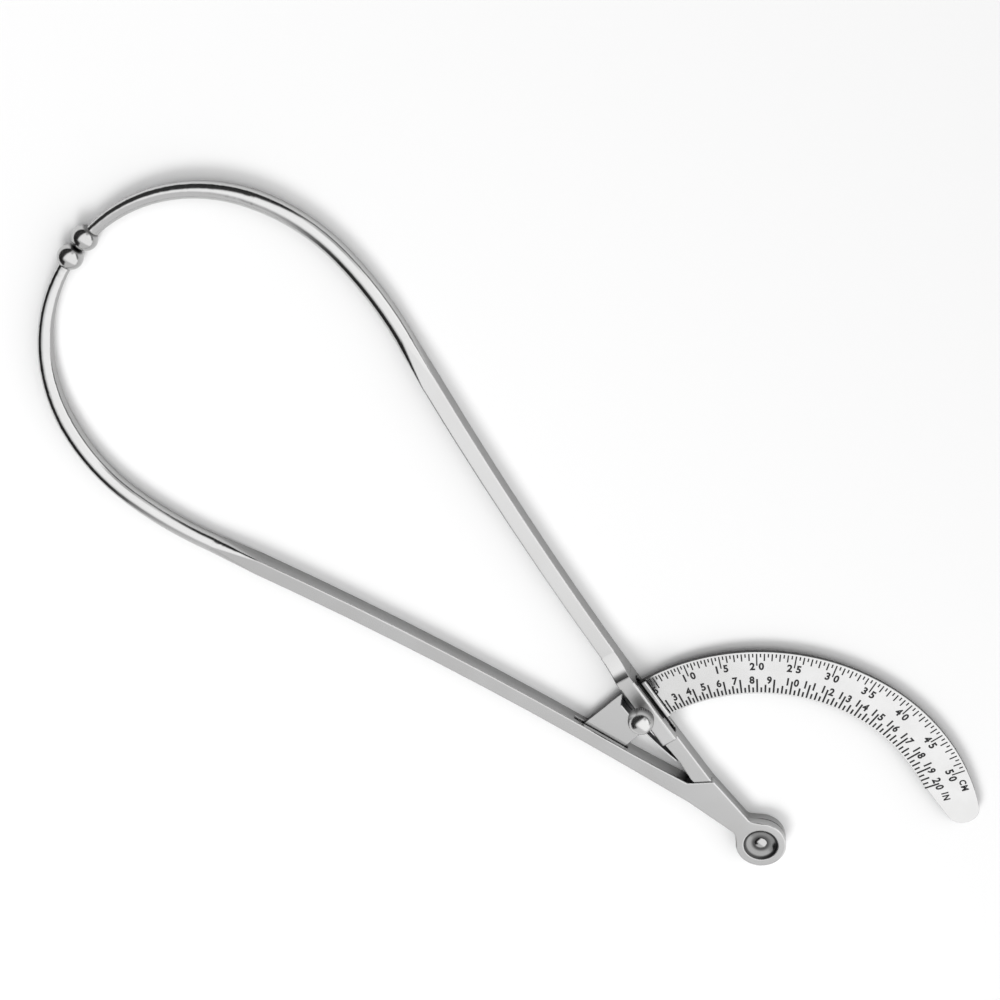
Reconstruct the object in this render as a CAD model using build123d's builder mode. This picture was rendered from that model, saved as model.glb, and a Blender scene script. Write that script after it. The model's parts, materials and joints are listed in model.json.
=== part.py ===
from build123d import *
import os
from math import asin, atan2, cos, degrees, hypot, radians, sin, sqrt

os.makedirs("parts", exist_ok=True)

# Pelvimeter in millimetres. Z is the hinge axis, X runs from the hinge to the closed ball tips and
# the table is at Z = 0. An arm is drawn as the one on the +Y side, and its side mirrors it.
LOWER = 1
UPPER = -1
UP = Vector(0, 0, 1)

# Flat bars of the arms: a station is a length along the bar's centre line from the shank's start
arm_height = 6.9
arm_width = 5.6
edge_chamfer = 0.3
shank_start = (60.0, 9.27)
shank_heading = 11.8
shank_radius = 1400.0
bar_length = 149.0

# Round bows that carry the ball tips
blend_length = 17.0
bow_radii = (132.0, 68.0, 57.3)
bow_turns = (-14.3, -27.8, -60.0)
rod_diameter = 6.6
rod_tip_diameter = 4.2
rod_roundness = 0.495
ball_radius = 4.35
ball_gap = 0.04
spigot_radius = 1.3
spigot_length = 3.0
spigot_fit = 0.02

# Lap joint at the hinge
ring_radius = 9.1
ring_merge = (5.3, 7.3)
neck_outer = (9.8, 3.5)
neck_inner = (9.6, -4.1)
neck_fillet = 3.0
flare_outer = (30.6, 6.1)
lap_corner = (30.6, -6.7)
lap_heel = (35.2, -1.2)
lap_gap = 0.2
lap_clearance = 0.06
lower_crotch = ((37.0, 0.7), (50.0, 4.0))
upper_crotch = ((37.0, 1.3), (45.0, 3.6), (53.0, 4.7))

# Hinge pin and its dished washer
pin_radius = 2.2
pin_running_fit = 0.05
pin_head_radius = 3.6
pin_head_height = 1.4
pin_top = 6.6
pin_dome_height = 0.8
recess_radius = 6.3
recess_depth = 1.7
washer_fit = 0.04
washer_floor = 0.35
washer_flat_radius = 2.5
washer_rim_height = 1.6
washer_rim_width = 0.2
washer_dish_depth = 0.4

# Graduated scale, whose root is let into the lower arm
scale_radius = 69.95
scale_width = 16.5
scale_bottom = 2.9
scale_thickness = 1.5
scale_edge = 0.12
scale_root_shifts = (0.7, 1.0)
scale_tail_start = 103.0
scale_tail_slope = 9.0
scale_tail_taper = 2.45
scale_end_angle = 122.0
tenon_depth = 3.2
mortise_spare = 5.9
mortise_shift = 2.25
mortise_fit = 0.02
groove_above_scale = 0.6
groove_depth = 1.5

# Raised box of the upper arm, with the slot that the scale passes through. Of the mortise, box, slot,
# shoe and lip, the spare is what each is longer than the scale is wide, and the shift is where its
# middle lies along the bar from the middle of the scale
box_spare = 13.1
box_shift = -0.65
box_width = 5.8
box_height = 3.0
box_underside = 0.5
box_chamfer = 0.6
ramp_radius = 18.0
ramp_brow = 2.5
slot_spare = 9.3
slot_shift = -1.95
slot_below_scale = 0.5
slot_height = 3.8
slot_corner = 1.2

# Clamp shoe in the slot, with a lip outside the box
shoe_lift = 0.25
shoe_thickness = 0.9
shoe_spare = 2.5
shoe_shift = -1.25
shoe_side_gap = 0.1
shoe_web = 0.5
lip_spare = -0.6
lip_shift = 0.1
lip_gap = 0.55
lip_width = 1.8
lip_height = 1.3
lip_round = 0.6

# Clamp screw and its knob
screw_shift = 0.95
screw_inset = 0.8
screw_radius = 1.25
screw_running_fit = 0.05
screw_tip_radius = 0.8
screw_tip_length = 0.5
collar_radius = 2.0
collar_height = 1.0
knob_bottom = 15.5
knob_band = 2.0
knob_radius = 4.55
knob_edge = 0.25
knob_bore_depth = 3.0
knurl_count = 44
knurl_radius = 0.22

# Spring leaf on the inner side of the upper arm, and its rivets
leaf_thickness = 0.5
leaf_foot_start = 38.6
leaf_foot_end = 44.6
leaf_middle_before_scale = 0.31
leaf_middle_offset = 5.43
leaf_end_before_edge = 2.04
leaf_end_offset = 6.13
leaf_foot_bottom = 1.5
leaf_foot_top = 5.2
leaf_rise = 11.5
leaf_rise_before_scale = 3.2
leaf_shoulder = 46.0
leaf_shoulder_top = 6.8
leaf_end_top = 9.6
leaf_above_scale = 0.45
rivet_positions = (40.3, 43.1)
rivet_height = 3.3
rivet_radius = 0.6
rivet_depth = 2.2
rivet_head_radius = 1.05
rivet_head_height = 0.45
rivet_fit = 0.02


def walk(point, heading, radius, turn):
    """End point and heading of an arc in the arm's plan; a positive turn bends to the left."""
    bend = radius if turn > 0 else -radius
    x = point[0] + bend * (sin(radians(heading + turn)) - sin(radians(heading)))
    y = point[1] - bend * (cos(radians(heading + turn)) - cos(radians(heading)))
    return (x, y), heading + turn


def beside(point, heading, offset):
    """The point that lies offset to the left of a heading."""
    return (point[0] - offset * sin(radians(heading)), point[1] + offset * cos(radians(heading)))


def station(length):
    """Point and heading of the bar's centre line at a station."""
    heading = shank_heading + degrees(length / shank_radius)
    x = shank_start[0] + shank_radius * (sin(radians(heading)) - sin(radians(shank_heading)))
    y = shank_start[1] - shank_radius * (cos(radians(heading)) - cos(radians(shank_heading)))
    return (x, y), heading


# Plan of one arm, from the end of its bar to the ball
bar_end, bar_end_heading = station(bar_length)
bow_start, bow_heading = station(bar_length + blend_length)
bow_end, tip_heading = bow_start, bow_heading
for bow_radius, bow_turn in zip(bow_radii, bow_turns):
    bow_end, tip_heading = walk(bow_end, tip_heading, bow_radius, bow_turn)
seat_depth = sqrt(ball_radius**2 - (rod_tip_diameter / 2) ** 2)
ball_x = bow_end[0] + seat_depth * cos(radians(tip_heading))
ball_y = bow_end[1] + seat_depth * sin(radians(tip_heading))
tip_reach = hypot(ball_x, ball_y)

# The arms are turned about the hinge until the two balls meet, and the bows rise to the ball centres
closing_angle = degrees(asin((ball_radius + ball_gap / 2) / tip_reach) - atan2(ball_y, ball_x))
bow_tilt = degrees(atan2(ball_radius - arm_height / 2, ball_x - bow_start[0]))

# Edges of the scale, and the station at which its middle crosses the bars
scale_inner_radius = scale_radius - scale_width / 2
scale_outer_radius = scale_radius + scale_width / 2
shank_lean = radians(shank_heading) - atan2(shank_start[1], shank_start[0])
scale_station = (scale_radius - hypot(*shank_start)) / cos(shank_lean)

# Levels of the lap, the slot, the scale and the parts of the lock
lap_level = arm_height / 2
box_top = arm_height + box_height
scale_top = scale_bottom + scale_thickness
slot_bottom = scale_bottom - slot_below_scale
shoe_bottom = scale_top + shoe_lift
shoe_top = shoe_bottom + shoe_thickness


def plan(side, height):
    """The level plane of one arm, turned with it about the hinge."""
    turn = radians(side * closing_angle)
    return Plane(origin=(0, 0, height), x_dir=(cos(turn), sin(turn), 0), z_dir=UP)


def spot(side, point, height):
    """A point of the arm's plan, in space."""
    return plan(side, height).from_local_coords(Vector(point[0], side * point[1], 0))


def along(side, heading):
    """The level direction of a heading of the arm's plan."""
    angle = radians(side * (heading + closing_angle))
    return Vector(cos(angle), sin(angle), 0)


def side_view(side, point, heading, height):
    """The upright plane along an arm, with its X level and its Y up."""
    ahead = along(side, heading)
    return Plane(origin=spot(side, point, height), x_dir=ahead, z_dir=ahead.cross(UP))


def mirrored(side, points):
    """Points of the arm's plan on one side of the instrument."""
    return [(x, side * y) for x, y in points]


def stretch_at_scale(spare, shift):
    """Start and length of a stretch of the bar that goes with the scale."""
    length = scale_width + spare
    return scale_station + shift - length / 2, length


def strip(side, start, length, inner, outer):
    """Plan of a stretch of the bar, between two offsets of its centre line."""
    first, first_heading = station(start)
    last, last_heading = station(start + length)
    turn = side * degrees(length / shank_radius)
    [outer_start] = mirrored(side, [beside(first, first_heading, outer)])
    [inner_end] = mirrored(side, [beside(last, last_heading, inner)])
    ahead = (cos(radians(first_heading)), side * sin(radians(first_heading)))
    back = (-cos(radians(last_heading)), -side * sin(radians(last_heading)))
    with BuildSketch(Plane.XY, mode=Mode.PRIVATE) as stretch:
        with BuildLine():
            left = JernArc(outer_start, ahead, shank_radius - outer, turn)
            Line(left @ 1, inner_end)
            right = JernArc(inner_end, back, shank_radius - inner, -turn)
            Line(right @ 1, outer_start)
        make_face()
    return stretch.sketch


def arm_outline(side, crotch):
    """Plan of an arm's hinge end and bar."""
    half = arm_width / 2
    merge = [ring_merge, (ring_merge[0], -ring_merge[1])]
    outer = [merge[0], neck_outer, flare_outer, beside(shank_start, shank_heading, half)]
    inner = [beside(shank_start, shank_heading, -half), *reversed(crotch), lap_heel, lap_corner, neck_inner]
    with BuildSketch(Plane.XY, mode=Mode.PRIVATE) as outline:
        with BuildLine():
            Polyline(*mirrored(side, [(0, 0), *outer, *inner, merge[1]]), close=True)
        make_face()
        Circle(ring_radius)
        necks = mirrored(side, [neck_outer, neck_inner])
        corners = [outline.vertices().sort_by_distance(Vector(x, y, 0))[0] for x, y in necks]
        fillet(corners, radius=neck_fillet)
        add(strip(side, 0, bar_length, -half, half))
    return outline.sketch


def hinge_region(side, crotch):
    """The half of an arm's plan that the other arm's lap fills."""
    corner = (lap_corner[0] + lap_gap, -lap_corner[1])
    heel = (lap_heel[0] + lap_gap, -lap_heel[1])
    beyond = (3 * corner[0] - 2 * heel[0], 3 * corner[1] - 2 * heel[1])
    reach = 3 * ring_radius
    points = [(-reach, beyond[1]), beyond, heel, crotch[0], (crotch[0][0], -reach), (-reach, -reach)]
    with BuildSketch(Plane.XY, mode=Mode.PRIVATE) as region:
        with BuildLine():
            Polyline(*mirrored(side, points), close=True)
        make_face()
    return region.sketch


def outline_edges(side, faces):
    """Edges round some faces of an arm, without those where the bar runs on as a rod."""
    joint = spot(side, bar_end, 0)
    edges = ShapeList()
    for face in faces:
        for edge in face.outer_wire().edges():
            middle = edge @ 0.5
            if hypot(middle.X - joint.X, middle.Y - joint.Y) > arm_width / 2:
                edges.append(edge)
    return edges


def bow_path(side):
    """Centre line of the round bow, in a plane that rises to the ball centre."""
    tilt = radians(bow_tilt)
    tilted = Plane(
        origin=spot(side, bow_start, arm_height / 2),
        x_dir=(cos(tilt), 0, sin(tilt)),
        z_dir=(-sin(tilt), 0, cos(tilt)),
    )
    end = (0, 0)
    heading = bow_heading + closing_angle
    with BuildLine(tilted, mode=Mode.PRIVATE) as path:
        for radius, turn in zip(bow_radii, bow_turns):
            tangent = (cos(radians(heading)), side * sin(radians(heading)))
            JernArc((end[0], side * end[1]), tangent, radius, side * turn)
            end, heading = walk(end, heading, radius, turn)
    return path.wire()


def base_arm(side, crotch, lap_bottom, lap_top):
    """Flat bar of an arm with its half-thick hinge end, its round bow and the spigot for the ball."""
    outline = arm_outline(side, crotch)
    with BuildPart(mode=Mode.PRIVATE) as arm:
        with BuildSketch(plan(side, 0)):
            add(outline)
        extrude(amount=arm_height)
        with BuildSketch(plan(side, lap_bottom)):
            add(hinge_region(side, crotch))
        extrude(amount=lap_top - lap_bottom, mode=Mode.SUBTRACT)
        levels = arm.faces().filter_by(Axis.Z).sort_by(Axis.Z)
        chamfer(outline_edges(side, [levels[0], levels[-1]]), edge_chamfer)

        # The chamfered bar blends into a round rod
        path = bow_path(side)
        arcs = path.edges()
        ahead = along(side, bar_end_heading)
        with BuildSketch(Plane(spot(side, bar_end, arm_height / 2), UP.cross(ahead), ahead)):
            corners = Rectangle(arm_width, arm_height)
            chamfer(corners.vertices(), edge_chamfer)
        with BuildSketch(Plane(path @ 0, UP.cross(path % 0), path % 0)):
            RectangleRounded(rod_diameter, rod_diameter, rod_diameter * rod_roundness)
        loft()

        # The rod keeps its thickness on the first arcs and tapers along the last
        with BuildSketch(Plane(origin=path @ 0, z_dir=path % 0)):
            Circle(rod_diameter / 2)
        sweep(path=Wire(arcs[:-1]))
        with BuildSketch(Plane(origin=arcs[-1] @ 0, z_dir=arcs[-1] % 0)):
            Circle(rod_diameter / 2)
        with BuildSketch(Plane(origin=arcs[-1] @ 1, z_dir=arcs[-1] % 1)):
            Circle(rod_tip_diameter / 2)
        sweep(path=arcs[-1], multisection=True)
        with BuildSketch(Plane(origin=path @ 1, z_dir=path % 1)):
            Circle(spigot_radius)
        extrude(amount=spigot_length)
    return arm.part


# Lower arm: its half of the lap is on top, with the washer's recess and the mortise of the scale
with BuildPart() as lower_arm:
    add(base_arm(LOWER, lower_crotch, 0, lap_level + lap_clearance))
    with BuildSketch(Plane.XY):
        Circle(pin_radius)
    extrude(amount=arm_height, mode=Mode.SUBTRACT)
    with BuildSketch(Plane.XY.offset(arm_height)):
        Circle(recess_radius)
    extrude(amount=-recess_depth, mode=Mode.SUBTRACT)
    mortise = stretch_at_scale(mortise_spare, mortise_shift)
    with BuildSketch(plan(LOWER, scale_bottom - mortise_fit)):
        mortise_floor = tenon_depth - arm_width / 2 + mortise_fit
        add(strip(LOWER, *mortise, -arm_width, mortise_floor))
    extrude(amount=scale_thickness + 2 * mortise_fit, mode=Mode.SUBTRACT)

    # The mouth of the mortise is taller, which leaves a groove over the scale's root
    with BuildSketch(plan(LOWER, scale_bottom - mortise_fit)):
        add(strip(LOWER, *mortise, -arm_width, groove_depth - arm_width / 2))
    extrude(amount=scale_thickness + mortise_fit + groove_above_scale, mode=Mode.SUBTRACT)
lower_arm.part.label = "lower_arm"
export_step(lower_arm.part, "parts/lower_arm.step")

# Foot of the spring leaf along the first side of the upper arm's crotch
foot_rise = (upper_crotch[1][1] - upper_crotch[0][1]) / (upper_crotch[1][0] - upper_crotch[0][0])
foot_heading = degrees(atan2(foot_rise, 1))


def foot_point(x, offset):
    """The point at x on the crotch's side, moved off it into the arm by an offset."""
    return beside((x, upper_crotch[0][1] + foot_rise * (x - upper_crotch[0][0])), foot_heading, offset)


def rivet_plane(x, offset):
    """The upright plane across a rivet's axis, facing out of the arm's inner side."""
    outward = UP.cross(along(UPPER, foot_heading))
    return Plane(origin=spot(UPPER, foot_point(x, offset), rivet_height), x_dir=UP, z_dir=outward)


screw_point, screw_heading = station(scale_station + screw_shift)
screw_point = beside(screw_point, screw_heading, -screw_inset)
box_start, box_length = stretch_at_scale(box_spare, box_shift)
box_far_point, box_far_heading = station(box_start + box_length)
slot_point, slot_heading = station(scale_station + slot_shift)
ramp_length = sqrt(ramp_radius**2 - (ramp_radius - box_height) ** 2)

# Upper arm: its half of the lap is underneath, and its box carries the lock
with BuildPart() as upper_arm:
    add(base_arm(UPPER, upper_crotch, lap_level, arm_height))
    with BuildSketch(plan(UPPER, box_underside)):
        add(strip(UPPER, box_start, box_length, -box_width / 2, box_width / 2))
    extrude(amount=box_top - box_underside)
    box_edges = upper_arm.faces().sort_by(Axis.Z)[-1].edges()
    chamfer(box_edges.sort_by_distance(spot(UPPER, box_far_point, box_top))[1:], box_chamfer)
    with BuildSketch(side_view(UPPER, box_far_point, box_far_heading, arm_height)) as ramp:
        with BuildLine():
            foot = (ramp_length, 0)
            ramp_arc = RadiusArc(foot, (0, box_height), ramp_radius)
            Polyline(ramp_arc @ 1, (-ramp_brow, box_height), (-ramp_brow, -1), (ramp_length, -1), foot)
        make_face()
    extrude(amount=arm_width / 2, both=True)
    with BuildSketch(side_view(UPPER, slot_point, slot_heading, slot_bottom + slot_height / 2)):
        RectangleRounded(scale_width + slot_spare, slot_height, slot_corner)
    extrude(amount=2 * box_width, both=True, mode=Mode.SUBTRACT)
    with BuildSketch(Plane(origin=spot(UPPER, screw_point, box_top))):
        Circle(screw_radius + screw_running_fit)
    extrude(amount=slot_bottom + slot_height / 2 - box_top, mode=Mode.SUBTRACT)
    with BuildSketch(Plane.XY):
        Circle(pin_radius + pin_running_fit)
    extrude(amount=arm_height, mode=Mode.SUBTRACT)
    with BuildSketch(Plane.XY):
        Circle(pin_head_radius + pin_running_fit)
    with BuildSketch(Plane.XY.offset(pin_head_height + pin_running_fit)):
        Circle(pin_radius + pin_running_fit)
    loft(mode=Mode.SUBTRACT)
    for x in rivet_positions:
        with BuildSketch(rivet_plane(x, 0)):
            Circle(rivet_radius + rivet_fit)
        extrude(amount=-rivet_depth, mode=Mode.SUBTRACT)
upper_arm.part.label = "upper_arm"
export_step(upper_arm.part, "parts/upper_arm.step")

# Ball tips, each bored for the spigot of its rod
for side, name in ((LOWER, "lower_ball_tip"), (UPPER, "upper_ball_tip")):
    path = bow_path(side)
    seat = Plane(origin=path @ 1, z_dir=path % 1)
    with BuildPart() as ball_tip:
        with Locations(Plane(origin=seat.origin + seat.z_dir * seat_depth, z_dir=seat.z_dir)):
            Sphere(ball_radius)
        split(bisect_by=seat)
        with BuildSketch(seat):
            Circle(spigot_radius + spigot_fit)
        extrude(amount=spigot_length + spigot_fit, mode=Mode.SUBTRACT)
    ball_tip.part.label = name
    export_step(ball_tip.part, f"parts/{name}.step")

# Graduated scale: a flat ring segment with a tenon at its root and a rounded end
scale_end_radius = scale_width / 2 - scale_tail_taper
end_distance = scale_outer_radius - scale_end_radius
end_centre = (end_distance * cos(radians(-scale_end_angle)), end_distance * sin(radians(-scale_end_angle)))
with BuildPart() as graduated_scale:
    with BuildSketch(Plane.XY.offset(scale_bottom)):
        with BuildLine():
            outer = CenterArc((0, 0), scale_outer_radius, 0, -scale_end_angle)
            end_turn = scale_end_angle - scale_tail_slope - 270
            end = CenterArc(end_centre, scale_end_radius, -scale_end_angle, end_turn)
            inner = CenterArc((0, 0), scale_inner_radius, -scale_tail_start, scale_tail_start)
            TangentArc(end @ 1, inner @ 0, tangent=end % 1)
            root_end = 2 * shank_start[1]
            root_inner = scale_inner_radius + scale_root_shifts[0]
            root_outer = scale_outer_radius + scale_root_shifts[1]
            Polyline(inner @ 1, (root_inner, root_end), (root_outer, root_end), outer @ 0)
        make_face()
        beyond = tenon_depth - arm_width / 2
        past_root = stretch_at_scale(mortise_spare + 2 * arm_width, mortise_shift)
        add(strip(LOWER, *past_root, beyond, root_end), mode=Mode.SUBTRACT)
    extrude(amount=scale_thickness)
    scale_faces = graduated_scale.faces().filter_by(Axis.Z).sort_by(Axis.Z)
    chamfer(scale_faces[0].edges() + scale_faces[-1].edges(), scale_edge)
graduated_scale.part.label = "graduated_scale"
export_step(graduated_scale.part, "parts/graduated_scale.step")

# Hinge pin: countersunk below, riveted over to a dome on top
with BuildPart() as hinge_pin:
    with BuildSketch(Plane.XZ):
        with BuildLine():
            dome_start = (pin_radius, pin_top - pin_dome_height)
            neck = (pin_radius, pin_head_height)
            Polyline((0, pin_top), (0, 0), (pin_head_radius, 0), neck, dome_start)
            dome_radius = (pin_radius**2 + pin_dome_height**2) / (2 * pin_dome_height)
            RadiusArc(dome_start, (0, pin_top), -dome_radius)
        make_face()
    revolve(axis=Axis.Z)
hinge_pin.part.label = "hinge_pin"
export_step(hinge_pin.part, "parts/hinge_pin.step")

# Dished washer under the riveted end of the pin
washer_bottom = arm_height - recess_depth
with BuildPart() as hinge_washer:
    with BuildSketch(Plane.XZ):
        bore = pin_radius + washer_fit
        rim_outer = recess_radius - washer_fit
        with BuildLine():
            dish_start = (washer_flat_radius, washer_bottom + washer_floor)
            dish_end = (rim_outer - washer_rim_width, washer_bottom + washer_rim_height)
            dish = SagittaArc(dish_start, dish_end, -washer_dish_depth)
            Polyline(
                dish @ 0,
                (bore, washer_bottom + washer_floor),
                (bore, washer_bottom),
                (rim_outer, washer_bottom),
                (rim_outer, washer_bottom + washer_rim_height),
                dish @ 1,
            )
        make_face()
    revolve(axis=Axis.Z)
hinge_washer.part.label = "hinge_washer"
export_step(hinge_washer.part, "parts/hinge_washer.step")

# Clamp shoe: a plate in the slot over the scale, with a half-round lip outside the box
lip_inner = box_width / 2 + lip_gap
lip_stretch = stretch_at_scale(lip_spare, lip_shift)
with BuildPart() as clamp_shoe:
    shoe_half = arm_width / 2 - shoe_side_gap
    with BuildSketch(plan(UPPER, shoe_bottom)):
        add(strip(UPPER, *stretch_at_scale(shoe_spare, shoe_shift), -shoe_half, shoe_half))
    extrude(amount=shoe_thickness)
    with BuildSketch(plan(UPPER, shoe_bottom)):
        add(strip(UPPER, *lip_stretch, 0, lip_inner))
    extrude(amount=shoe_web)
    with BuildSketch(plan(UPPER, shoe_bottom)):
        add(strip(UPPER, *lip_stretch, lip_inner, lip_inner + lip_width))
    extrude(amount=lip_height)
    lip_edges = clamp_shoe.faces().sort_by(Axis.Z)[-1].edges().sort_by(SortBy.LENGTH)[-2:]
    fillet(lip_edges, radius=lip_round)
    with BuildSketch(Plane(origin=spot(UPPER, screw_point, shoe_top))):
        Circle(screw_tip_radius + screw_running_fit)
    extrude(amount=-screw_tip_length - screw_running_fit, mode=Mode.SUBTRACT)
clamp_shoe.part.label = "clamp_shoe"
export_step(clamp_shoe.part, "parts/clamp_shoe.step")

# Clamp screw, whose tip turns in the shoe and whose head end carries the knob
with BuildPart() as lock_screw:
    with BuildSketch(Plane(origin=spot(UPPER, screw_point, shoe_top - screw_tip_length))):
        Circle(screw_tip_radius)
    extrude(amount=screw_tip_length)
    with BuildSketch(Plane(origin=spot(UPPER, screw_point, shoe_top))):
        Circle(screw_radius)
    extrude(amount=knob_bottom + knob_bore_depth - shoe_top)
    with BuildSketch(Plane(origin=spot(UPPER, screw_point, knob_bottom - collar_height))):
        Circle(collar_radius)
    extrude(amount=collar_height)
lock_screw.part.label = "lock_screw"
export_step(lock_screw.part, "parts/lock_screw.step")

# Knob: a knurled band under a polished dome
with BuildPart() as lock_knob:
    knob_base = Plane(origin=spot(UPPER, screw_point, knob_bottom))
    with BuildSketch(Plane(origin=knob_base.origin, x_dir=(1, 0, 0), z_dir=(0, -1, 0))):
        with BuildLine():
            band_top = (knob_radius, knob_band)
            Polyline((0, knob_band + knob_radius), (0, 0), (knob_radius - knob_edge, 0))
            Polyline((knob_radius - knob_edge, 0), (knob_radius, knob_edge), band_top)
            RadiusArc(band_top, (0, knob_band + knob_radius), -knob_radius)
        make_face()
    revolve(axis=Axis(knob_base.origin, (0, 0, 1)))
    with BuildSketch(knob_base):
        Circle(screw_radius)
    extrude(amount=knob_bore_depth, mode=Mode.SUBTRACT)
    with BuildSketch(knob_base):
        with PolarLocations(knob_radius + knurl_radius / 2, knurl_count):
            Circle(knurl_radius)
    extrude(amount=knob_band, mode=Mode.SUBTRACT)
lock_knob.part.label = "lock_knob"
export_step(lock_knob.part, "parts/lock_knob.step")

# Spring leaf on edge: a riveted foot, and a blade that rises past the box
blade_bottom = scale_top + leaf_above_scale
middle_point, middle_heading = station(scale_station - scale_width / 2 - leaf_middle_before_scale)
leaf_middle = beside(middle_point, middle_heading, -leaf_middle_offset)
end_point, end_heading = station(scale_station + scale_width / 2 - leaf_end_before_edge)
leaf_end = beside(end_point, end_heading, -leaf_end_offset)
leaf_rise_end = scale_inner_radius - leaf_rise_before_scale
with BuildPart() as spring_leaf:
    with BuildSketch(plan(UPPER, 0)):
        with BuildLine():
            heel = foot_point(leaf_foot_start, -leaf_thickness / 2)
            bend = foot_point(leaf_foot_end, -leaf_thickness / 2)
            heel, bend, middle, tip = mirrored(UPPER, [heel, bend, leaf_middle, leaf_end])
            Line(heel, bend)
            ThreePointArc(bend, middle, tip)
        trace(line_width=leaf_thickness)
    extrude(amount=box_top)
    with BuildSketch(Plane.XZ):
        with BuildLine():
            Polyline(
                (leaf_foot_start - 1, leaf_foot_bottom),
                (leaf_rise_end - leaf_rise, leaf_foot_bottom),
                (leaf_rise_end, blade_bottom),
                (leaf_end[0] + 1, blade_bottom),
                (leaf_end[0] + 1, leaf_end_top),
                (leaf_shoulder, leaf_shoulder_top),
                (leaf_shoulder - 1, leaf_foot_top),
                (leaf_foot_start - 1, leaf_foot_top),
                close=True,
            )
        make_face()
    extrude(amount=4 * box_width, both=True, mode=Mode.INTERSECT)
    for x in rivet_positions:
        with BuildSketch(rivet_plane(x, -leaf_thickness)):
            Circle(rivet_radius + rivet_fit)
        extrude(amount=-leaf_thickness, both=True, mode=Mode.SUBTRACT)
spring_leaf.part.label = "spring_leaf"
export_step(spring_leaf.part, "parts/spring_leaf.step")

# Round-headed rivets through the foot of the leaf
with BuildPart() as leaf_rivets:
    for x in rivet_positions:
        with BuildSketch(rivet_plane(x, -leaf_thickness)):
            Circle(rivet_radius)
        extrude(amount=-leaf_thickness - rivet_depth)
        with BuildSketch(rivet_plane(x, -leaf_thickness)):
            Circle(rivet_head_radius)
        extrude(amount=rivet_head_height)
        head_top = rivet_plane(x, -leaf_thickness - rivet_head_height).origin
        chamfer(leaf_rivets.faces().sort_by_distance(head_top)[0].edges(), rivet_head_height / 2)
leaf_rivets.part.label = "leaf_rivets"
export_step(leaf_rivets.part, "parts/leaf_rivets.step")
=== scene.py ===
import json
import math

import bmesh
import bpy
from mathutils import Matrix, Vector

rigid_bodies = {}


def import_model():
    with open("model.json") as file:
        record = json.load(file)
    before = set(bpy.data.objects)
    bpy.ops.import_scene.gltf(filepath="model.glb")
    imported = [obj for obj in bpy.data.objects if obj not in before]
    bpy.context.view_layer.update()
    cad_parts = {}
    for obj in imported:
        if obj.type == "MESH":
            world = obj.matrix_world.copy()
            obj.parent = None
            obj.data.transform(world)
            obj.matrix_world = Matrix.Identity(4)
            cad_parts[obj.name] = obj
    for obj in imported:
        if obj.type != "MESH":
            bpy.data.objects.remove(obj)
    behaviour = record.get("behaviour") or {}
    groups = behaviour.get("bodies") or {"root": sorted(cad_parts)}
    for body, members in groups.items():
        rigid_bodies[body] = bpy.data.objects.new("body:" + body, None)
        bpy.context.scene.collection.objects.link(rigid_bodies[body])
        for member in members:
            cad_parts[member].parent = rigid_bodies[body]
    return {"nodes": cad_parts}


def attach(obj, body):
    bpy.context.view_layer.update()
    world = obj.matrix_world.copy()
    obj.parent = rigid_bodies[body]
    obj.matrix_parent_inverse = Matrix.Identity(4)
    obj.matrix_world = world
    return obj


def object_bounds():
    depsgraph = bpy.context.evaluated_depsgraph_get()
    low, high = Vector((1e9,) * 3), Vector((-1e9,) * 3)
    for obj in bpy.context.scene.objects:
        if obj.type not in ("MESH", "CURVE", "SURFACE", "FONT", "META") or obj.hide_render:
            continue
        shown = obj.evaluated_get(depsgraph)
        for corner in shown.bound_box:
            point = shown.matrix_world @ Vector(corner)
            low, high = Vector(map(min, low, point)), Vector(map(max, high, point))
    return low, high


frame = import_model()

cad_low, cad_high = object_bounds()

MM = 0.001
CENTIMETRE = 10 * MM
INCH = 0.0254

# Sizes of the graduated scale, in metres and radians
SCALE_TOP = 4.4 * MM
SCALE_INNER = 61.7 * MM
SCALE_OUTER = 78.2 * MM
LAST_CENTIMETRE = 50
LAST_INCH = 20
CENTIMETRE_ZERO = math.radians(6.77)
INCH_ZERO = math.radians(6.1)
ANGLE_PER_METRE = math.radians(166.85)
ANGLE_GROWTH = math.radians(80.5)
MARK_DEPTH = 0.05 * MM
MARK_PROUD = 0.012 * MM

# Figures: the radius at their foot, their height, and their width as a share of the font's
FIGURE_STEPS = 3
FIGURE_BOLDNESS = 0.042
WELD = 1e-7
CENTIMETRE_FIGURE = {"foot": SCALE_OUTER - 7.2 * MM, "height": 3.0 * MM, "slim": 0.95}
INCH_FIGURE = {"foot": SCALE_INNER + 3.9 * MM, "height": 3.05 * MM, "slim": 0.9}
CM_LETTER = {"foot": SCALE_OUTER - 4.3 * MM, "height": 2.5 * MM, "slim": 0.9}
IN_LETTER = {"foot": SCALE_INNER + 5.1 * MM, "height": 2.5 * MM, "slim": 0.9}

# Borders of the painted shade and of the satin box top on the steel: the two ends of a soft step, or of a
# band
KNOB_AXIS = (70.133 * MM, -10.697 * MM)
KNURL_TOP = (17.45 * MM, 17.55 * MM)
KNURL_GROOVE = (4.46 * MM, 4.535 * MM)
LOWER_DOME = (17.8 * MM, 20.2 * MM)
LAP_LINE = (3.28 * MM, 3.56 * MM)
LAP_END = (20 * MM, 34 * MM)
CORNER_LENGTH = (33 * MM, 36.5 * MM)
CORNER_SIDE = (4 * MM, 5 * MM)
BALL_TOUCH = (0.3 * MM, 1.1 * MM)
ROD_ENTRY = (7.3 * MM, 7.95 * MM)
SHOE_WEB = (5.2 * MM, 5.35 * MM)
PIN_FOOT = (2.5 * MM, 4.0 * MM)
WASHER_RIM = (4.9 * MM, 5.6 * MM)
BOX_TOP = (9.6 * MM, 9.8 * MM)
SCALE_ROOT_SHADE = (-0.26, -0.1)
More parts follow.
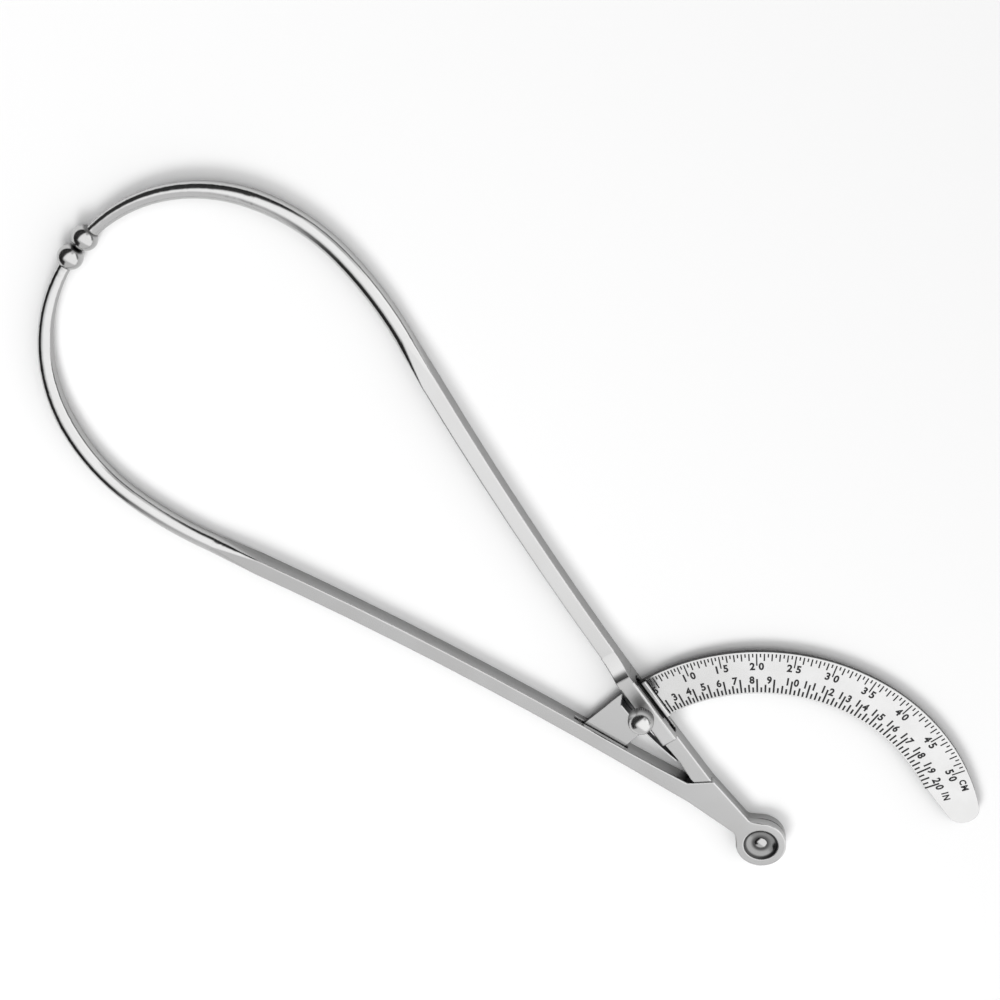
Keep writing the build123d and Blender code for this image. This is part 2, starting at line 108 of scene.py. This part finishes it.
ARM_EDGE = 0.55 * MM

# Colours that are not plain greys
BLUED_DARK = (0.028, 0.03, 0.036, 1)
BLUED_LIGHT = (0.06, 0.062, 0.068, 1)
INK_BLACK = (0.012, 0.012, 0.013, 1)
INK_WORN = (0.07, 0.07, 0.072, 1)

# The camera of the photograph: lens and sensor in millimetres, place in metres, and its three axes
LENS = 54
SENSOR = 36
NEAREST = 0.01
CAMERA_PLACE = (0.24220, -0.22115, 0.47249)
CAMERA_RIGHT = Vector((-0.73834, -0.66094, -0.13423))
CAMERA_DOWN = Vector((-0.65428, 0.65365, 0.38033))
CAMERA_AHEAD = Vector((-0.16364, 0.36864, -0.91506))

# Floor and lamp, in metres and watts
FLOOR_REACH = 40.0
FLOOR_MIDDLE = 0.15
LAMP_PLACE = Vector((-0.15, 0.55, 0.85))
LAMP_AIM = Vector((0.14, 0, 0))
LAMP_WIDTH = 0.55
LAMP_POWER = 5.6

# Brightness of the studio's parts
PANEL = 1.45
BEYOND_SEAM_LOSS = 0.53
FRONT_GAIN = 0.12
DARKNESS = 0.97
LOW_FRONT = 0.74
LOW_FRONT_GAIN = 0.95
GAP_DARKNESS = 0.93
ROUGH_LOSS = 0.25

# Borders of the studio's parts in the direction to them, where a lean is a side part over the height
LEAST_HEIGHT = 0.02
SEAM = (0.385, 0.43)
SEAM_JOG = (0.285, 0.31)
SEAM_JOG_WIDTH = 0.045
BACK_OF_FRONT = (-0.36, -0.2)
DARK_SIDE_LEAN = (0.78, 0.86)
DARK_SIDE_START = (-0.13, 0.03)
DARK_END_LEAN = (0.42, 0.74)
DARK_END_FRONT = (-0.97, -0.9)
LOW_FRONT_LEAN = (1.24, 1.3)
LOW_FRONT_END = (0.08, 0.3)
LOW_FRONT_BRIGHT = (0.1, 0.22)
GAP_TOP = (0.17, 0.27)
GAP_FRONT = (0.3, 0.55)


class Maths:
    """A number or colour of a node tree. Sums and products of it add their nodes."""

    def __init__(self, net, socket):
        self.net = net
        self.socket = socket

    def work(self, operation, first, second=0.0):
        """A Math node on two numbers, of which either may be a plain one."""
        return self.net.add("ShaderNodeMath", {"operation": operation}, {0: first, 1: second})[0]

    def __add__(self, other):
        return self.work("ADD", self, other)

    def __radd__(self, other):
        return self.work("ADD", other, self)

    def __sub__(self, other):
        return self.work("SUBTRACT", self, other)

    def __rsub__(self, other):
        return self.work("SUBTRACT", other, self)

    def __neg__(self):
        return self.work("SUBTRACT", 0.0, self)

    def __mul__(self, other):
        return self.work("MULTIPLY", self, other)

    def __rmul__(self, other):
        return self.work("MULTIPLY", other, self)

    def __truediv__(self, other):
        return self.work("DIVIDE", self, other)

    def __rtruediv__(self, other):
        return self.work("DIVIDE", other, self)

    def __pow__(self, other):
        return self.work("POWER", self, other)

    def __rpow__(self, other):
        return self.work("POWER", other, self)

    def __abs__(self):
        return self.work("ABSOLUTE", self)

    def __mod__(self, other):
        return self.work("FLOORED_MODULO", self, other)

    def __rmod__(self, other):
        return self.work("FLOORED_MODULO", other, self)

    def __gt__(self, other):
        return self.work("GREATER_THAN", self, other)

    def __lt__(self, other):
        return self.work("LESS_THAN", self, other)

    def most(self, other):
        """The larger of two numbers."""
        return self.work("MAXIMUM", self, other)

    def step(self, low, high):
        """0 below low and 1 above high, with a smooth rise between them."""
        sockets = {"Value": self, "From Min": low, "From Max": high}
        return self.net.add("ShaderNodeMapRange", {"interpolation_type": "SMOOTHSTEP"}, sockets)[0]


class Net:
    """A node tree that is filled from an empty start."""

    def __init__(self, tree):
        self.tree = tree
        tree.nodes.clear()

    def add(self, kind, settings=None, sockets=None):
        """Adds a node: its type, its settings, then the values or links of its sockets."""
        node = self.tree.nodes.new(kind)
        for name, value in (settings or {}).items():
            setattr(node, name, value)
        for name, value in (sockets or {}).items():
            if isinstance(value, Maths):
                self.tree.links.new(value.socket, node.inputs[name])
            else:
                node.inputs[name].default_value = value
        return {key: Maths(self, socket)
                for order, socket in enumerate(node.outputs)
                for key in (order, socket.name)}

    def mix(self, share, first, second):
        """A colour between two colours. On this node they are sockets 6 and 7, and the result is 2."""
        return self.add("ShaderNodeMix", {"data_type": "RGBA"}, {0: share, 6: first, 7: second})[2]

    def vector(self, **parts):
        """A vector from its X, Y and Z."""
        return self.add("ShaderNodeCombineXYZ", {}, parts)[0]

    def place(self, stretch=(1, 1, 1), turn=(0, 0, 0)):
        """Object coordinates, stretched and turned."""
        coordinates = self.add("ShaderNodeTexCoord")["Object"]
        sockets = {"Vector": coordinates, "Scale": stretch, "Rotation": turn}
        return self.add("ShaderNodeMapping", {}, sockets)["Vector"]

    def noise(self, where, scale, detail=3.0, roughness=0.5):
        """Soft random spots of a size that falls as the scale grows."""
        sockets = {"Vector": where, "Scale": scale, "Detail": detail, "Roughness": roughness}
        return self.add("ShaderNodeTexNoise", {}, sockets)[0]


def grey(value, warmth=0.0):
    return (value * (1 + warmth), value, value * (1 - warmth), 1)


def new_finish(name):
    """An empty material and its node tree."""
    material = bpy.data.materials.new(name)
    material.use_nodes = True
    return material, Net(material.node_tree)


def finish_metal(net, colour, roughness, height, relief_depth, edge=None):
    """A metal shader with colour, roughness and relief, and with softened edges where an edge is given."""
    relief = {"Height": height, "Strength": 1.0, "Distance": relief_depth}
    if edge:
        relief["Normal"] = net.add("ShaderNodeBevel", {"samples": 6}, {"Radius": edge})["Normal"]
    sockets = {"Base Color": colour, "Roughness": roughness, "Metallic": 1.0,
               "Normal": net.add("ShaderNodeBump", {}, relief)["Normal"]}
    shader = net.add("ShaderNodeBsdfPrincipled", {}, sockets)["BSDF"]
    net.add("ShaderNodeOutputMaterial", {}, {"Surface": shader})


def axes(net, output="Object"):
    """The three parts of a point, or of a direction."""
    split = net.add("ShaderNodeSeparateXYZ", {}, {0: net.add("ShaderNodeTexCoord")[output]})
    return split["X"], split["Y"], split["Z"]


def distance_from_axis(x, y):
    return (x * x + y * y) ** 0.5


def inside_band(value, low, high, soft):
    """1 between low and high and 0 outside, with soft borders."""
    return value.step(low - soft, low) * (1.0 - value.step(high, high + soft))


def upright(net):
    """1 on walls and 0 on faces that look up or down."""
    return 1.0 - abs(axes(net, "Normal")[2]).step(0.2, 0.6)


def knurl_dirt(net):
    """Painted shade: dark bottoms in the knob's knurl, and a darker, duller lower part of its dome."""
    x, y, z = axes(net)
    radius = distance_from_axis(x - KNOB_AXIS[0], y - KNOB_AXIS[1])
    grooves = (1.0 - z.step(*KNURL_TOP)) * (1.0 - radius.step(*KNURL_GROOVE))
    lower_dome = (1.0 - z.step(*LOWER_DOME)) * 0.65
    return grooves.most(lower_dome)


def arm_dirt(net):
    """Painted shade: a dark line where the two halves of the lap meet, and darkening in the corner between
    the arms.
    """
    x, y, z = axes(net)
    lap_line = inside_band(z, *LAP_LINE, soft=0.08 * MM) * (1.0 - x.step(*LAP_END))
    corner = inside_band(x, *CORNER_LENGTH, soft=4.5 * MM) * (1.0 - abs(y).step(*CORNER_SIDE))
    return lap_line.most(corner * upright(net) * 0.92)


def ball_dirt(net):
    """Painted shade: darkening where the balls touch and where the rods enter them."""
    off_middle = abs(axes(net)[1])
    touch = 1.0 - off_middle.step(*BALL_TOUCH)
    joint = off_middle.step(*ROD_ENTRY) * 0.65
    return touch.most(joint)


def shoe_dirt(net):
    """Painted shade: a dark web of the clamp shoe, low in its slot."""
    return 1.0 - axes(net)[2].step(*SHOE_WEB)


def washer_dirt(net):
    """Painted shade in the dish of the washer, round the foot of the pin and along the rim."""
    x, y, z = axes(net)
    radius = distance_from_axis(x, y)
    foot = (1.0 - radius.step(*PIN_FOOT)) * 0.75
    rim = radius.step(*WASHER_RIM) * 0.8
    return foot.most(rim)


def polished_steel(name, shade, smooth, hairline=0.05, sway=1.0, painted_shade=None, edge=None, walls=0.0):
    """Hand-polished steel with two sets of faint hairlines, cloudy polish and a slight sway, and painted
    shade on its walls and where a mask is given.
    """
    material, net = new_finish(name)
    hairs = net.noise(net.place(stretch=(120, 5200, 5200)), 1.0, detail=4.0, roughness=0.6)
    cross_hairs = net.noise(net.place(stretch=(3800, 160, 3800), turn=(0, 0, 0.5)), 1.0, roughness=0.6)
    clouds = net.noise(net.place(), 55.0)
    waves = net.noise(net.place(), 38.0, detail=1.0)
    wear = (hairs * 0.6 + cross_hairs * 0.4).step(0.62, 0.78)
    colour = net.mix(clouds.step(0.35, 0.7), grey(shade * 0.965, warmth=0.004), grey(shade))
    colour = net.mix(wear * 0.5, colour, grey(shade * 1.08))
    roughness = smooth + clouds * hairline + wear * hairline
    if walls:
        # Painted shade: darker walls, which are also rougher; and a satin top on the box of the lock
        wall = upright(net)
        colour = net.mix(wall * walls, colour, grey(0.05))
        roughness = roughness + wall * 0.12 + axes(net)[2].step(*BOX_TOP) * 0.34
    # Painted shade from the given mask: a darker colour there, also a little duller
    if painted_shade:
        shade_mask = painted_shade(net)
        colour = net.mix(shade_mask, colour, grey(0.02))
        roughness = roughness + shade_mask * 0.3
    height = hairs * 0.035 + cross_hairs * 0.02 + waves * sway
    finish_metal(net, colour, roughness, height, relief_depth=0.02 * MM, edge=edge)
    return material


def satin_steel():
    """Satin steel of the scale, with fine arcs about the hinge, and painted shade: a darker root between
    the arms and a dark rim.
    """
    material, net = new_finish("satin scale steel")
    x, y, z = axes(net)
    angle = y.work("ARCTAN2", y, x)
    turned = net.vector(X=distance_from_axis(x, y) * 9000, Y=angle * 9, Z=z * 900)
    arcs = net.noise(turned, 1.0, detail=4.0, roughness=0.6)
    clouds = net.noise(net.place(), 70.0, detail=4.0, roughness=0.6)
    specks = net.noise(net.place(), 2600.0, detail=2.0).step(0.66, 0.74)
    colour = net.mix(clouds.step(0.3, 0.75), grey(0.56, warmth=0.003), grey(0.61))
    colour = net.mix(specks * 0.25, colour, grey(0.42))
    # Painted shade: the root of the scale, between the arms, is made darker
    colour = net.mix(angle.step(*SCALE_ROOT_SHADE), colour, grey(0.49))
    # Painted shade: faces that do not look up, the rim of the scale, are made nearly black, and also
    # rougher
    rim = 1.0 - axes(net, "Normal")[2].step(0.5, 0.8)
    colour = net.mix(rim, colour, grey(0.085))
    roughness = 0.12 + arcs * 0.06 + clouds * 0.06 + rim * 0.2
    finish_metal(net, colour, roughness, arcs * 0.05 + clouds * 0.4, relief_depth=0.02 * MM)
    return material


def blued_steel():
    """Blued spring steel that is lighter where it looks up: rubbed wear, and a painted highlight on its
    top edge.
    """
    material, net = new_finish("blued leaf steel")
    up = axes(net, "Normal")[2]
    clouds = net.noise(net.place(), 240.0, detail=4.0, roughness=0.6)
    streaks = net.noise(net.place(stretch=(90, 900, 2400)), 1.0)
    # Painted highlight, with rubbed wear: faces that look up get a light steel colour
    bright = (up + clouds * 0.1).step(0.6, 0.85)
    colour = net.mix(clouds.step(0.3, 0.7), BLUED_DARK, BLUED_LIGHT)
    colour = net.mix(bright, colour, grey(0.58))
    roughness = 0.34 - bright * 0.14 + streaks * 0.08
    finish_metal(net, colour, roughness, streaks, relief_depth=0.01 * MM)
    return material


def black_filling():
    """Black filling of the marks and figures, a little worn."""
    material, net = new_finish("black filling")
    clouds = net.noise(net.place(), 420.0, detail=4.0, roughness=0.65)
    grains = net.noise(net.place(), 5200.0, detail=2.0)
    wear = (clouds * 0.7 + grains * 0.3).step(0.56, 0.8)
    sockets = {"Base Color": net.mix(wear, INK_BLACK, INK_WORN), "Roughness": 0.5 + wear * 0.2,
               "Specular IOR Level": 0.3}
    shader = net.add("ShaderNodeBsdfPrincipled", {}, sockets)["BSDF"]
    net.add("ShaderNodeOutputMaterial", {}, {"Surface": shader})
    return material


arm_steel = polished_steel("polished arm steel", shade=0.53, smooth=0.11, painted_shade=arm_dirt,
                           edge=ARM_EDGE, walls=0.25)
ball_steel = polished_steel("bright ball steel", shade=0.48, smooth=0.17, hairline=0.03, sway=0.3,
                            painted_shade=ball_dirt)
pin_steel = polished_steel("bright hinge steel", shade=0.45, smooth=0.1, hairline=0.04, sway=0.4)
# Painted shade: the washer gets a very dark steel colour, so that its polished dish looks dark
washer_steel = polished_steel("dark washer steel", shade=0.26, smooth=0.14, hairline=0.04, sway=0.4,
                              painted_shade=washer_dirt)
knob_steel = polished_steel("bright knob steel", shade=0.55, smooth=0.2, hairline=0.04, sway=0.3,
                            painted_shade=knurl_dirt)
screw_steel = polished_steel("turned screw steel", shade=0.45, smooth=0.22, hairline=0.06, sway=0.5)
shoe_steel = polished_steel("shoe steel", shade=0.6, smooth=0.34, sway=0.7, painted_shade=shoe_dirt)
scale_steel = satin_steel()
leaf_steel = blued_steel()
ink = black_filling()

NODE_FINISHES = {
    "lower_arm": arm_steel,
    "upper_arm": arm_steel,
    "lower_ball_tip": ball_steel,
    "upper_ball_tip": ball_steel,
    "graduated_scale": scale_steel,
    "hinge_pin": pin_steel,
    "hinge_washer": washer_steel,
    "lock_knob": knob_steel,
    "lock_screw": screw_steel,
    "clamp_shoe": shoe_steel,
    "spring_leaf": leaf_steel,
    "leaf_rivets": leaf_steel,
}
for node_name, finish in NODE_FINISHES.items():
    mesh = frame["nodes"][node_name].data
    mesh.materials.clear()
    mesh.materials.append(finish)


def into_scene(name, data):
    """A new object of the scene."""
    thing = bpy.data.objects.new(name, data)
    bpy.context.scene.collection.objects.link(thing)
    return thing


def scale_piece(name, mesh):
    """A piece of the scene that lies on the scale and moves with its arm."""
    piece = into_scene(name, mesh)
    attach(piece, "scale_arm")


def plain_mesh(thing, name):
    """The evaluated shape of an object as a plain mesh. The object itself is removed."""
    graph = bpy.context.evaluated_depsgraph_get()
    mesh = bpy.data.meshes.new_from_object(thing.evaluated_get(graph))
    mesh.name = name
    bpy.data.objects.remove(thing)
    return mesh


def reading_angle(zero, length):
    """Angle about the hinge, in radians, of the mark for a distance between the balls."""
    return -zero - length * (ANGLE_PER_METRE + length * ANGLE_GROWTH)


class Layout(Net):
    """A node tree that makes a shape, with named sizes."""

    def __init__(self, name):
        super().__init__(bpy.data.node_groups.new(name, "GeometryNodeTree"))
        self.tree.interface.new_socket("Geometry", in_out="OUTPUT", socket_type="NodeSocketGeometry")
        self.ids = {}

    def size(self, name, kind="NodeSocketFloat"):
        """A named size, which a modifier sets by its identifier."""
        socket = self.tree.interface.new_socket(name, in_out="INPUT", socket_type=kind)
        self.ids[name] = socket.identifier
        return self.add("NodeGroupInput")[name]


def row_of_marks():
    """A row of radial marks in three lengths, whose spacing grows slowly with the distance."""
    net = Layout("row of marks")
    count = net.size("Count", "NodeSocketInt")
    step = net.size("Step")
    zero = net.size("Zero angle")
    slope = net.size("Angle per metre")
    growth = net.size("Angle growth")
    edge = net.size("Edge radius")
    side = net.size("Side")
    short = net.size("Short")
    middle = net.size("Middle")
    long = net.size("Long")
    middle_every = net.size("Middle every")
    long_every = net.size("Long every")
    width = net.size("Width")
    depth = net.size("Depth")
    top = net.size("Top")
    filling = net.size("Filling", "NodeSocketMaterial")

    number = net.add("GeometryNodeInputIndex")[0]
    distance = number * step
    angle = -zero - distance * (slope + distance * growth)
    is_middle = 1.0 - (number % middle_every > 0.5)
    is_long = 1.0 - (number % long_every > 0.5)
    length = short + is_middle * (middle - short) + is_long * (long - middle)
    radius = edge + side * length * 0.5
    spot = net.vector(X=radius * angle.work("COSINE", angle), Y=radius * angle.work("SINE", angle),
                      Z=top - depth * 0.5)
    line = net.add("GeometryNodeMeshLine", {}, {"Count": count})[0]
    points = net.add("GeometryNodeSetPosition", {}, {"Geometry": line, "Position": spot})[0]
    bar = net.add("GeometryNodeMeshCube", {}, {"Size": (1, 1, 1)})["Mesh"]
    sockets = {"Points": points, "Instance": bar, "Rotation": net.vector(Z=angle),
               "Scale": net.vector(X=length, Y=width, Z=depth)}
    bars = net.add("GeometryNodeInstanceOnPoints", {}, sockets)[0]
    real = net.add("GeometryNodeRealizeInstances", {}, {0: bars})[0]
    filled = net.add("GeometryNodeSetMaterial", {}, {"Geometry": real, "Material": filling})[0]
    net.add("NodeGroupOutput", {}, {0: filled})
    return net


marks = row_of_marks()


def mark_row(name, sizes):
    """One row of marks, made by the node tree and turned into a plain mesh."""
    carrier = into_scene(name, bpy.data.meshes.new(name))
    modifier = carrier.modifiers.new("marks", "NODES")
    modifier.node_group = marks.tree
    for size, value in sizes.items():
        modifier[marks.ids[size]] = value
    scale_piece(name, plain_mesh(carrier, name))


COMMON_SIZES = {
    "Angle per metre": ANGLE_PER_METRE,
    "Angle growth": ANGLE_GROWTH,
    "Middle every": 2.0,
    "Depth": MARK_DEPTH,
    "Top": SCALE_TOP + MARK_PROUD,
    "Filling": ink,
}
mark_row("centimetre_marks", {
    **COMMON_SIZES, "Zero angle": CENTIMETRE_ZERO, "Count": 2 * LAST_CENTIMETRE + 1,
    "Step": CENTIMETRE / 2, "Edge radius": SCALE_OUTER - 0.75 * MM, "Side": -1.0,
    "Short": 1.4 * MM, "Middle": 2.8 * MM, "Long": 4.7 * MM, "Long every": 10.0, "Width": 0.5 * MM})
mark_row("inch_marks", {
    **COMMON_SIZES, "Zero angle": INCH_ZERO, "Count": 4 * LAST_INCH + 1,
    "Step": INCH / 4, "Edge radius": SCALE_INNER + 0.5 * MM, "Side": 1.0,
    "Short": 2.0 * MM, "Middle": 3.1 * MM, "Long": 5.3 * MM, "Long every": 4.0, "Width": 0.66 * MM})

glyph_store = {}


def glyph(letter):
    """A letter or figure as a solid, one unit high and one thick, centred on its width."""
    if letter not in glyph_store:
        words = bpy.data.curves.new("figure", "FONT")
        words.body = letter
        words.extrude = 0.5
        words.resolution_u = FIGURE_STEPS
        words.offset = FIGURE_BOLDNESS
        mesh = plain_mesh(into_scene("figure", words), "figure")
        across = [v.co.x for v in mesh.vertices]
        height = [v.co.y for v in mesh.vertices]
        tall = max(height) - min(height)
        middle = (max(across) + min(across)) / 2
        for v in mesh.vertices:
            v.co.x = (v.co.x - middle) / tall
            v.co.y = (v.co.y - min(height)) / tall
        glyph_store[letter] = mesh
    return glyph_store[letter]


def figure(letter, angle, offset, foot, height, slim):
    """A figure on the scale with its top outwards: offset is to the right, foot a radius, slim a width."""
    mesh = glyph(letter).copy()
    turn = angle - offset / (foot + height / 2)
    right = Vector((math.sin(turn), -math.cos(turn), 0))
    out = Vector((math.cos(turn), math.sin(turn), 0))
    middle = Vector((0, 0, SCALE_TOP + MARK_PROUD - MARK_DEPTH / 2))
    place = Matrix.Identity(4)
    place.col[0][:3] = right * height * slim
    place.col[1][:3] = out * height
    place.col[2][:3] = Vector((0, 0, MARK_DEPTH))
    place.col[3][:3] = out * foot + middle
    mesh.transform(place)
    return mesh


def number_figures(number, angle, gap, single, style):
    """The figures of one number, on both sides of its long mark, or a single one to the left of it."""
    text = str(number)
    places = (single,) if len(text) == 1 else (-gap, gap)
    return [figure(letter, angle, place, **style) for letter, place in zip(text, places)]


def figures(name, meshes):
    """Figures as one piece on the scale."""
    build = bmesh.new()
    for mesh in meshes:
        build.from_mesh(mesh)
        bpy.data.meshes.remove(mesh)
    bmesh.ops.remove_doubles(build, verts=build.verts, dist=WELD)
    bmesh.ops.recalc_face_normals(build, faces=build.faces)
    mesh = bpy.data.meshes.new(name)
    build.to_mesh(mesh)
    build.free()
    mesh.materials.append(ink)
    scale_piece(name, mesh)


centimetre_meshes = []
for number in range(5, LAST_CENTIMETRE + 1, 5):
    angle = reading_angle(CENTIMETRE_ZERO, number * CENTIMETRE)
    centimetre_meshes += number_figures(number, angle, 1.55 * MM, -1.8 * MM, CENTIMETRE_FIGURE)
inch_meshes = []
for number in range(1, LAST_INCH + 1):
    angle = reading_angle(INCH_ZERO, number * INCH)
    inch_meshes += number_figures(number, angle, 1.5 * MM, -1.75 * MM, INCH_FIGURE)
unit_meshes = []
for letter, offset in (("C", 4.2 * MM), ("M", 6.7 * MM)):
    angle = reading_angle(CENTIMETRE_ZERO, LAST_CENTIMETRE * CENTIMETRE)
    unit_meshes.append(figure(letter, angle, offset, **CM_LETTER))
for letter, offset in (("I", 4.5 * MM), ("N", 6.4 * MM)):
    angle = reading_angle(INCH_ZERO, LAST_INCH * INCH)
    unit_meshes.append(figure(letter, angle, offset, **IN_LETTER))
figures("centimetre_figures", centimetre_meshes)
figures("inch_figures", inch_meshes)
figures("unit_letters", unit_meshes)


def set_camera():
    """The camera where the photograph was taken from."""
    lens = bpy.data.cameras.new("camera")
    lens.sensor_width = SENSOR
    lens.lens = LENS
    lens.clip_start = NEAREST
    camera = into_scene("camera", lens)
    turn = Matrix((CAMERA_RIGHT, -CAMERA_DOWN, -CAMERA_AHEAD)).transposed()
    camera.matrix_world = Matrix.Translation(CAMERA_PLACE) @ turn.to_4x4()
    bpy.context.scene.camera = camera


def set_floor():
    """A plain pale floor under the instrument."""
    material, net = new_finish("pale floor")
    clouds = net.noise(net.place(), 3.0, detail=2.0)
    sockets = {"Color": net.mix(clouds, grey(0.925), grey(0.935)), "Roughness": 0.5}
    shader = net.add("ShaderNodeBsdfDiffuse", {}, sockets)["BSDF"]
    net.add("ShaderNodeOutputMaterial", {}, {"Surface": shader})
    build = bmesh.new()
    bmesh.ops.create_grid(build, x_segments=1, y_segments=1, size=FLOOR_REACH)
    mesh = bpy.data.meshes.new("floor")
    build.to_mesh(mesh)
    build.free()
    mesh.materials.append(material)
    floor = into_scene("floor", mesh)
    floor.location = (FLOOR_MIDDLE, 0, cad_low.z)


def set_studio():
    """Pale panels overhead, a dark side at +Y, a dark end at +X, and light over a dark gap at -Y."""
    world = bpy.data.worlds.new("studio")
    bpy.context.scene.world = world
    world.use_nodes = True
    net = Net(world.node_tree)
    x, y, z = axes(net, "Generated")
    height = z.most(LEAST_HEIGHT)
    lean = y / height
    beyond_seam = (y + (-x).step(*SEAM_JOG) * SEAM_JOG_WIDTH).step(*SEAM)
    panel = PANEL - beyond_seam * BEYOND_SEAM_LOSS + (-y).step(*BACK_OF_FRONT) * FRONT_GAIN
    dark_side = lean.step(*DARK_SIDE_LEAN) * x.step(*DARK_SIDE_START)
    dark_end = (x / height).step(*DARK_END_LEAN) * y.step(*DARK_END_FRONT)
    low_front = (-lean).step(*LOW_FRONT_LEAN) * (1.0 - x.step(*LOW_FRONT_END))
    low_front_light = LOW_FRONT + (-x).step(*LOW_FRONT_BRIGHT) * LOW_FRONT_GAIN
    gap = (1.0 - z.step(*GAP_TOP)) * (-y).step(*GAP_FRONT)
    light = panel * (1.0 - dark_side.most(dark_end) * DARKNESS)
    light = light * (1.0 - low_front) + low_front * low_front_light
    light = light * (1.0 - gap * GAP_DARKNESS)

    # Rough surfaces such as the floor get a little less of it
    rough = net.add("ShaderNodeLightPath")["Is Diffuse Ray"]
    sockets = {"Color": grey(1.0), "Strength": light * (1.0 - rough * ROUGH_LOSS)}
    back = net.add("ShaderNodeBackground", {}, sockets)[0]
    net.add("ShaderNodeOutputWorld", {}, {"Surface": back})


def set_lamp():
    """A soft lamp overhead, which the steel does not mirror."""
    light = bpy.data.lights.new("soft lamp", "AREA")
    light.shape = "DISK"
    light.size = LAMP_WIDTH
    light.energy = LAMP_POWER
    lamp = into_scene("soft lamp", light)
    lamp.location = LAMP_PLACE
    lamp.rotation_euler = (LAMP_AIM - LAMP_PLACE).to_track_quat("-Z", "Y").to_euler()
    lamp.visible_glossy = False


set_camera()
set_floor()
set_studio()
set_lamp()

bpy.context.scene.view_settings.view_transform = "Standard"
